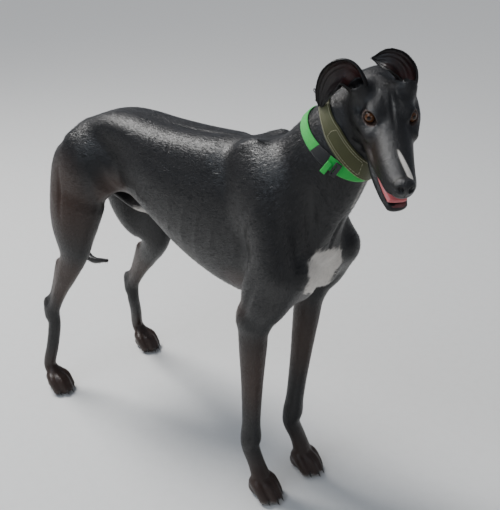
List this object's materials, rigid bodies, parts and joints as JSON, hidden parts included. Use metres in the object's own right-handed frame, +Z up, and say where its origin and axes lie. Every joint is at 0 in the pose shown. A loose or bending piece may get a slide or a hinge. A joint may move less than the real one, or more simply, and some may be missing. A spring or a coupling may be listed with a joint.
{
  "type": "greyhound",
  "caption": "Life-size still model of a standing black greyhound with its head turned and mouth open, wearing an olive leather collar and a green webbing collar",
  "frame": {"origin": "on the floor, below the middle of the overall box", "axes": "+Z up, +X along the body towards the chest, +Y to the dog's left"},
  "size_m": [0.9082, 0.3126, 0.8742],
  "materials": {
    "coat": "short, close, glossy black coat with small white marks",
    "ear_skin": "thin ear leather with very short black fur",
    "eye": "wet, clear cornea over an amber brown iris",
    "tongue": "wet pink",
    "olive_leather": "waxed, with light stitching",
    "green_webbing": "woven webbing",
    "black_plastic": "moulded",
    "dark_metal": "blackened steel"
  },
  "bodies": {
    "root": {"chest": "coat", "collar_buckle": "dark_metal", "collar_green": "green_webbing", "collar_keeper": "green_webbing", "collar_olive": "olive_leather", "collar_ring": "dark_metal", "collar_slider": "black_plastic", "ear_left": "ear_skin", "ear_right": "ear_skin", "eye_left": "eye", "eye_right": "eye", "foreleg_left": "coat", "foreleg_right": "coat", "forepaw_left": "coat", "forepaw_right": "coat", "head": "coat", "hindfoot_left": "coat", "hindfoot_right": "coat", "hindleg_left": "coat", "hindleg_right": "coat", "hindquarters": "coat", "neck": "coat", "tail": "coat", "tongue": "tongue", "trunk": "coat"}
  },
  "joints": []
}
